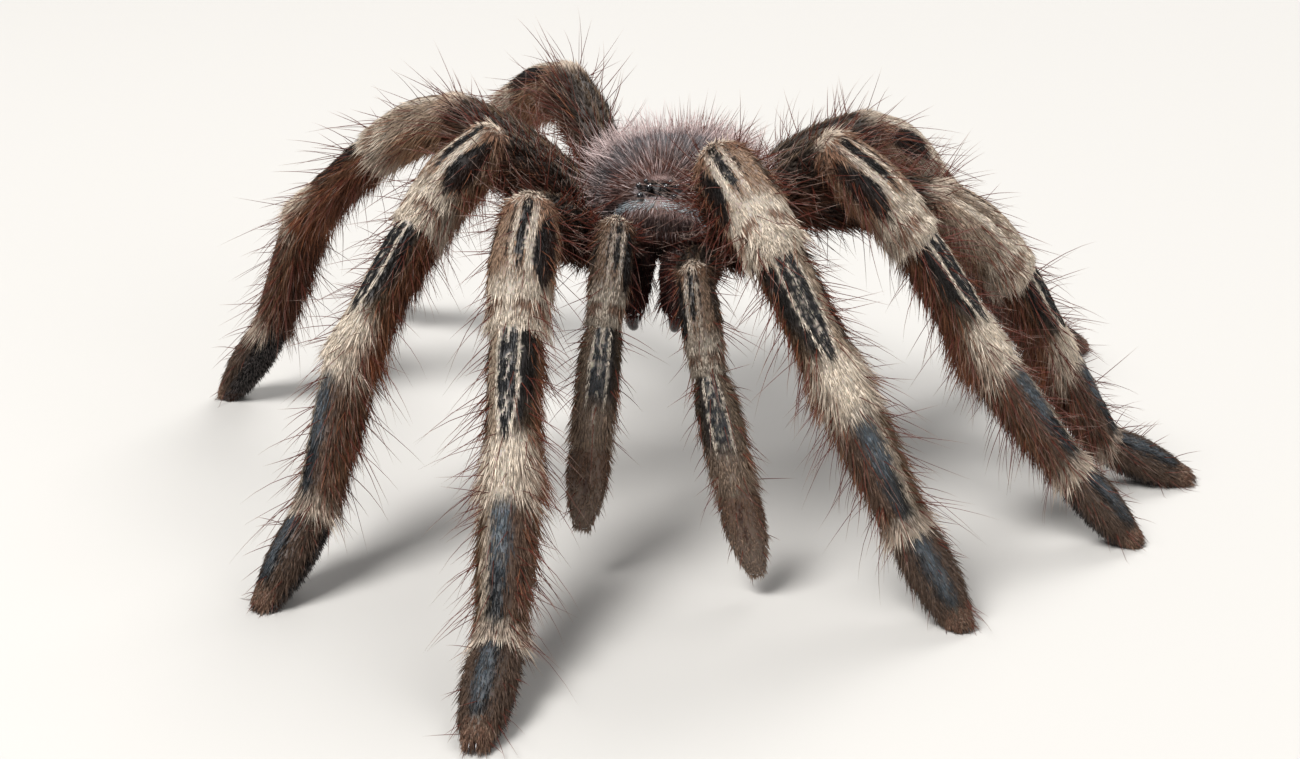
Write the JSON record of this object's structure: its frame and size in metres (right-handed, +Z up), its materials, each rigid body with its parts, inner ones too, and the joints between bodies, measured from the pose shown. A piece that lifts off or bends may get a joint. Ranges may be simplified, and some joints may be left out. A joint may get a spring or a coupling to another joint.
{
  "type": "tarantula",
  "caption": "Life-size tarantula standing high on long banded hairy legs, with cream-striped black velvet segments and long red-brown bristles.",
  "frame": {"origin": "middle of the footprint of the standing animal, on the floor", "axes": "+Z up, head toward -Y, the animal's left side toward +X"},
  "size_m": [0.1564, 0.1562, 0.0613],
  "materials": {
    "leg_coat": "short black-brown velvet hair with cream stripes and joint bands, long red-brown bristles",
    "carapace_coat": "grey-brown hair that lies back from the eyes, paler and lilac-grey toward the rear",
    "abdomen_coat": "black velvet hair with long reddish bristles",
    "underside_coat": "dark brown short hair with a red-brown fringe",
    "eye": "glossy black lens",
    "fang": "polished black-brown horn"
  },
  "bodies": {
    "root": {"abdomen": "abdomen_coat", "carapace": "carapace_coat", "chelicera_left": "underside_coat", "chelicera_right": "underside_coat", "eye_left_anterior_lateral": "eye", "eye_left_anterior_median": "eye", "eye_left_posterior_lateral": "eye", "eye_left_posterior_median": "eye", "eye_right_anterior_lateral": "eye", "eye_right_anterior_median": "eye", "eye_right_posterior_lateral": "eye", "eye_right_posterior_median": "eye", "fang_left": "fang", "fang_right": "fang", "leg1_left_femur": "leg_coat", "leg1_left_metatarsus": "leg_coat", "leg1_left_patella": "leg_coat", "leg1_left_tarsus": "leg_coat", "leg1_left_tibia": "leg_coat", "leg1_right_femur": "leg_coat", "leg1_right_metatarsus": "leg_coat", "leg1_right_patella": "leg_coat", "leg1_right_tarsus": "leg_coat", "leg1_right_tibia": "leg_coat", "leg2_left_femur": "leg_coat", "leg2_left_metatarsus": "leg_coat", "leg2_left_patella": "leg_coat", "leg2_left_tarsus": "leg_coat", "leg2_left_tibia": "leg_coat", "leg2_right_femur": "leg_coat", "leg2_right_metatarsus": "leg_coat", "leg2_right_patella": "leg_coat", "leg2_right_tarsus": "leg_coat", "leg2_right_tibia": "leg_coat", "leg3_left_femur": "leg_coat", "leg3_left_metatarsus": "leg_coat", "leg3_left_patella": "leg_coat", "leg3_left_tarsus": "leg_coat", "leg3_left_tibia": "leg_coat", "leg3_right_femur": "leg_coat", "leg3_right_metatarsus": "leg_coat", "leg3_right_patella": "leg_coat", "leg3_right_tarsus": "leg_coat", "leg3_right_tibia": "leg_coat", "leg4_left_femur": "leg_coat", "leg4_left_metatarsus": "leg_coat", "leg4_left_patella": "leg_coat", "leg4_left_tarsus": "leg_coat", "leg4_left_tibia": "leg_coat", "leg4_right_femur": "leg_coat", "leg4_right_metatarsus": "leg_coat", "leg4_right_patella": "leg_coat", "leg4_right_tarsus": "leg_coat", "leg4_right_tibia": "leg_coat", "palp_left_femur": "leg_coat", "palp_left_patella_to_tarsus": "leg_coat", "palp_right_femur": "leg_coat", "palp_right_patella_to_tarsus": "leg_coat", "sternum": "underside_coat"}
  },
  "joints": []
}
